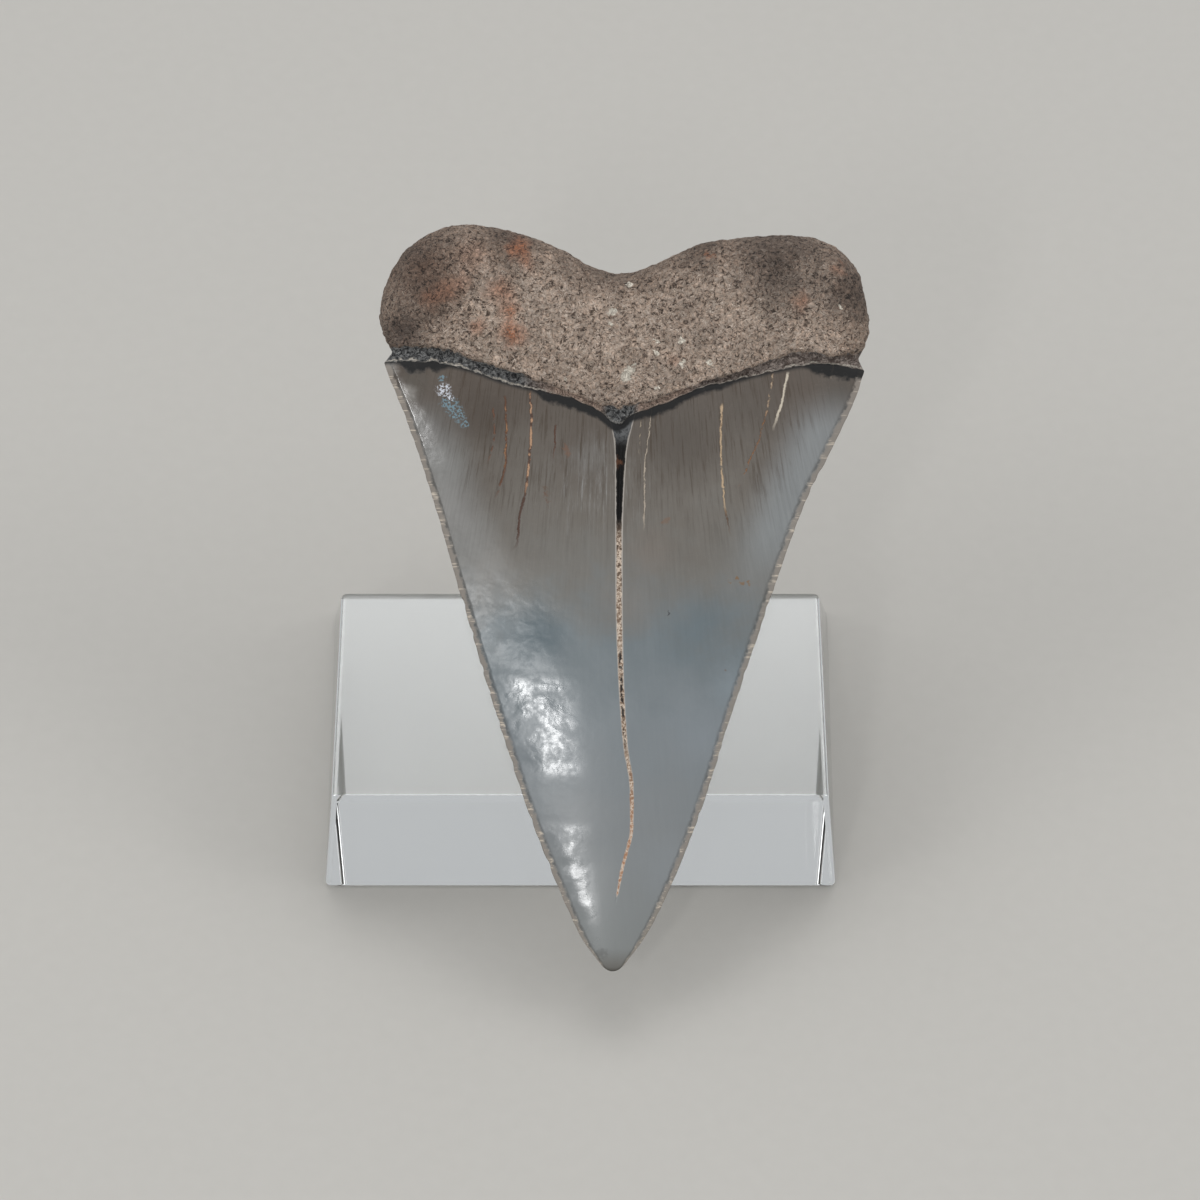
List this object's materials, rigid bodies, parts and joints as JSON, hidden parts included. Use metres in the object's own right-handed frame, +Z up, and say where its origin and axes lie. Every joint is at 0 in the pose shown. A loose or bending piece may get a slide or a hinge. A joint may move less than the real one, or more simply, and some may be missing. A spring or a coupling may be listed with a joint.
{
  "type": "fossil mako shark tooth on a clear stand",
  "caption": "Broad fossil mako shark tooth, root up, leaning on a clear acrylic wedge for display.",
  "frame": {"origin": "on the surface it stands on, under the middle of the whole object's bounding box", "axes": "+Z up; the tooth's flat labial face looks towards -Y and up; +X is to the viewer's right"},
  "size_m": [0.0468, 0.0492, 0.0493],
  "materials": {
    "fossil_tooth": "satin",
    "clear_acrylic": "polished",
    "putty": "matte"
  },
  "bodies": {
    "root": {"tooth": "fossil_tooth", "display_block": "clear_acrylic", "mounting_wax": "putty"}
  },
  "joints": []
}
